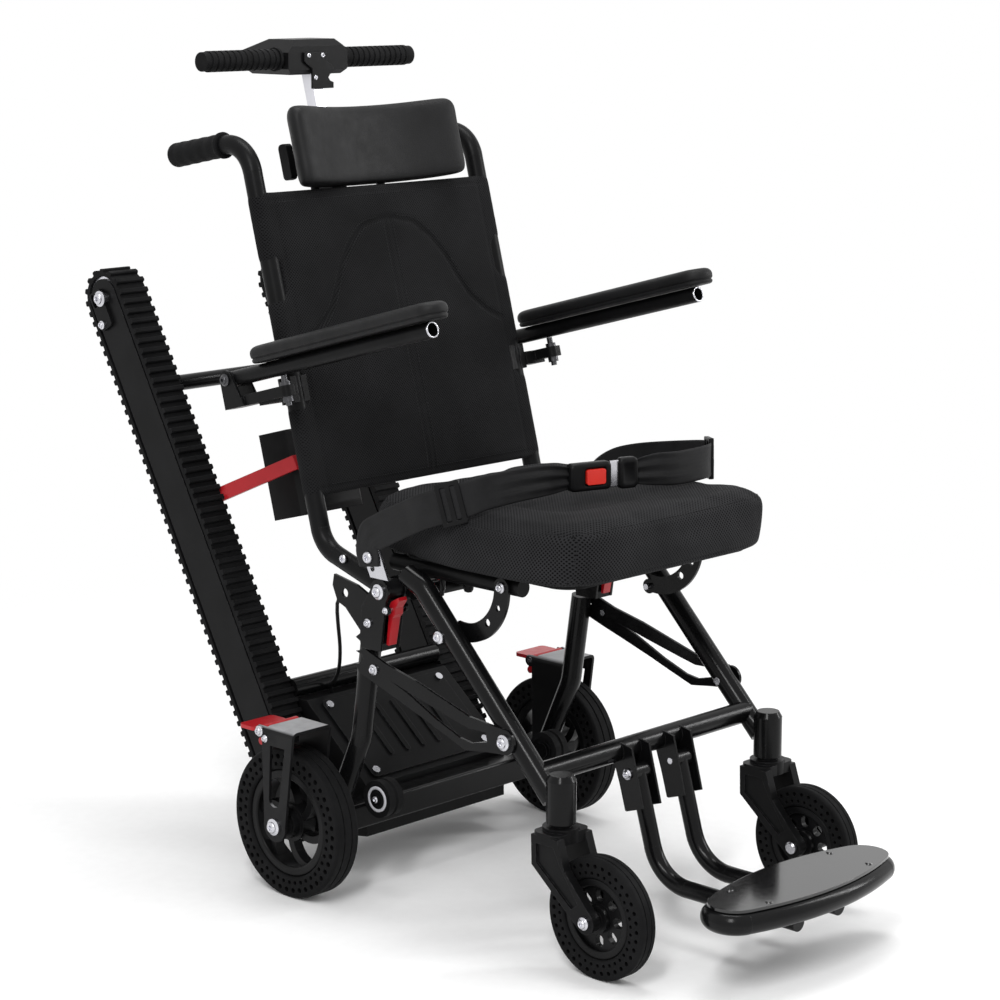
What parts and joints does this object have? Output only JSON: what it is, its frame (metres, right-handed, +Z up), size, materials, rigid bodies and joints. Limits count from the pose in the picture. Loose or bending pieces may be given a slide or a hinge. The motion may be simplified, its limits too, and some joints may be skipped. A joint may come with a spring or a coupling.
{
  "type": "stair climbing wheelchair",
  "caption": "Folding wheelchair with airless wheels, swivel casters, flip-up armrests and powered rubber crawler tracks leaning behind the seat for carrying a sitter over stairs.",
  "frame": {"origin": "middle of the footprint box on the floor, under the seat", "axes": "+Z up, the sitter faces -Y, +X is the sitter's left"},
  "size_m": [0.586, 1.1965, 1.097],
  "materials": {
    "frame_black": "semi-gloss black powder coat",
    "track_plate": "black anodised aluminium",
    "bright_steel": "zinc plated",
    "fork_grey": "bare and black sheet",
    "tyre_rubber": "matte solid rubber",
    "belt_rubber": "matte moulded rubber",
    "black_plastic": "fine grain black",
    "black_leather": "grained black",
    "webbing": "woven grey black",
    "spacer_mesh": "open black spacer mesh over padding",
    "signal_red": "gloss red",
    "red_plastic": "red",
    "bare_aluminium": "satin"
  },
  "bodies": {
    "chassis": {"base_frame": "frame_black", "drive_housing": "track_plate", "drive_cover": "track_plate", "drive_unit": "bare_aluminium", "track_beams": "track_plate", "track_belts": "belt_rubber", "track_tensioners": "track_plate", "cross_tubes": "frame_black", "stay_bar": "signal_red", "battery_pack": "black_plastic", "side_links": "frame_black", "pivot_posts": "frame_black", "front_frame": "frame_black", "seat_frame": "track_plate", "quadrant_plates": "frame_black", "seat_cushion": "spacer_mesh", "rear_forks": "fork_grey", "frame_fasteners": "bright_steel", "lap_belt": "webbing", "belt_buckle": "black_plastic", "belt_hardware": "bright_steel", "power_cable": "black_plastic"},
    "drive": {"drive_axle": "bright_steel"},
    "back": {"back_frame": "track_plate", "back_panel": "spacer_mesh", "push_grips": "belt_rubber", "arm_brackets": "track_plate", "back_fasteners": "bright_steel"},
    "headrest": {"headrest_pad": "black_leather", "headrest_bracket": "track_plate"},
    "handle": {"handle_post": "bare_aluminium", "control_box": "black_plastic", "handle_grips": "belt_rubber"},
    "footrest": {"footrest_frame": "frame_black", "footplate": "black_plastic"},
    "button": {"buckle_button": "red_plastic"},
    "guide_right": {"guide_roller_right": "belt_rubber"},
    "track_idler_right": {"idler_right": "bare_aluminium"},
    "rear_wheel_right": {"rear_hub_right": "black_plastic", "rear_tyre_right": "tyre_rubber"},
    "pedal_right": {"brake_pedal_right": "signal_red"},
    "caster_right": {"caster_fork_right": "track_plate", "caster_pins_right": "bright_steel"},
    "caster_wheel_right": {"caster_hub_right": "black_plastic", "caster_tyre_right": "tyre_rubber"},
    "arm_right": {"arm_tube_right": "track_plate", "arm_pad_right": "black_leather"},
    "latch_right": {"latch_lever_right": "signal_red"},
    "guide_left": {"guide_roller_left": "belt_rubber"},
    "track_idler_left": {"idler_left": "bare_aluminium"},
    "rear_wheel_left": {"rear_hub_left": "black_plastic", "rear_tyre_left": "tyre_rubber"},
    "pedal_left": {"brake_pedal_left": "signal_red"},
    "caster_left": {"caster_fork_left": "track_plate", "caster_pins_left": "bright_steel"},
    "caster_wheel_left": {"caster_hub_left": "black_plastic", "caster_tyre_left": "tyre_rubber"},
    "arm_left": {"arm_tube_left": "track_plate", "arm_pad_left": "black_leather"},
    "latch_left": {"latch_lever_left": "signal_red"}
  },
  "joints": [
    {"name": "drive_spin", "type": "hinge", "parent": "chassis", "child": "drive", "pos_m": [0, 0.18272, 0.075], "axis": [1, 0, 0], "continuous": true},
    {"name": "idler_spin_right", "type": "hinge", "parent": "chassis", "child": "track_idler_right", "pos_m": [-0.16, 0.55728, 0.73974], "axis": [1, 0, 0], "continuous": true},
    {"name": "guide_spin_right", "type": "hinge", "parent": "chassis", "child": "guide_right", "pos_m": [-0.1588, 0.02572, 0.126], "axis": [1, 0, 0], "continuous": true},
    {"name": "rear_spin_right", "type": "hinge", "parent": "chassis", "child": "rear_wheel_right", "pos_m": [-0.25, 0.09572, 0.1], "axis": [1, 0, 0], "continuous": true},
    {"name": "brake_press_right", "type": "hinge", "parent": "chassis", "child": "pedal_right", "pos_m": [-0.254, 0.12072, 0.224], "axis": [-1, 0, 0], "range_deg": [0, 12]},
    {"name": "caster_swivel_right", "type": "hinge", "parent": "chassis", "child": "caster_right", "pos_m": [-0.199, -0.32728, 0.178], "axis": [0, 0, 1], "continuous": true},
    {"name": "caster_spin_right", "type": "hinge", "parent": "caster_right", "child": "caster_wheel_right", "pos_m": [-0.199, -0.39428, 0.076], "axis": [1, 0, 0], "continuous": true},
    {"name": "latch_press_right", "type": "hinge", "parent": "chassis", "child": "latch_right", "pos_m": [-0.203, -0.04528, 0.399], "axis": [-1, 0, 0], "range_deg": [0, 14], "stiffness_Nm_per_rad": 0.4},
    {"name": "idler_spin_left", "type": "hinge", "parent": "chassis", "child": "track_idler_left", "pos_m": [0.16, 0.55728, 0.73974], "axis": [1, 0, 0], "continuous": true},
    {"name": "guide_spin_left", "type": "hinge", "parent": "chassis", "child": "guide_left", "pos_m": [0.1588, 0.02572, 0.126], "axis": [1, 0, 0], "continuous": true},
    {"name": "rear_spin_left", "type": "hinge", "parent": "chassis", "child": "rear_wheel_left", "pos_m": [0.25, 0.09572, 0.1], "axis": [1, 0, 0], "continuous": true},
    {"name": "brake_press_left", "type": "hinge", "parent": "chassis", "child": "pedal_left", "pos_m": [0.254, 0.12072, 0.224], "axis": [-1, 0, 0], "range_deg": [0, 12]},
    {"name": "caster_swivel_left", "type": "hinge", "parent": "chassis", "child": "caster_left", "pos_m": [0.199, -0.32728, 0.178], "axis": [0, 0, 1], "continuous": true},
    {"name": "caster_spin_left", "type": "hinge", "parent": "caster_left", "child": "caster_wheel_left", "pos_m": [0.199, -0.39428, 0.076], "axis": [1, 0, 0], "continuous": true},
    {"name": "latch_press_left", "type": "hinge", "parent": "chassis", "child": "latch_left", "pos_m": [0.203, -0.04528, 0.399], "axis": [-1, 0, 0], "range_deg": [0, 14], "stiffness_Nm_per_rad": 0.4},
    {"name": "back_fold", "type": "hinge", "parent": "chassis", "child": "back", "pos_m": [0, -0.03328, 0.4218], "axis": [1, 0, 0], "range_deg": [0, 60]},
    {"name": "arm_flip_right", "type": "hinge", "parent": "back", "child": "arm_right", "pos_m": [-0.247, 0.20619, 0.67061], "axis": [-1, 0, 0], "range_deg": [0, 90]},
    {"name": "arm_flip_left", "type": "hinge", "parent": "back", "child": "arm_left", "pos_m": [0.247, 0.20619, 0.67061], "axis": [-1, 0, 0], "range_deg": [0, 90]},
    {"name": "headrest_height", "type": "slide", "parent": "back", "child": "headrest", "axis": [0, 0.2588, 0.9659], "range_m": [0, 0.06]},
    {"name": "handle_height", "type": "slide", "parent": "back", "child": "handle", "axis": [0, 0.2588, 0.9659], "range_m": [-0.06, 0.12]},
    {"name": "footrest_flip", "type": "hinge", "parent": "chassis", "child": "footrest", "pos_m": [0, -0.31028, 0.206], "axis": [-1, 0, 0], "range_deg": [0, 85]},
    {"name": "buckle_press", "type": "slide", "parent": "chassis", "child": "button", "axis": [0.2924, 0.9563, 0], "range_m": [0, 0.003], "stiffness_N_per_m": 400}
  ],
  "couplings": [
    {"joint": "idler_spin_right", "follows": "drive_spin", "ratio": 1},
    {"joint": "idler_spin_left", "follows": "drive_spin", "ratio": 1}
  ]
}
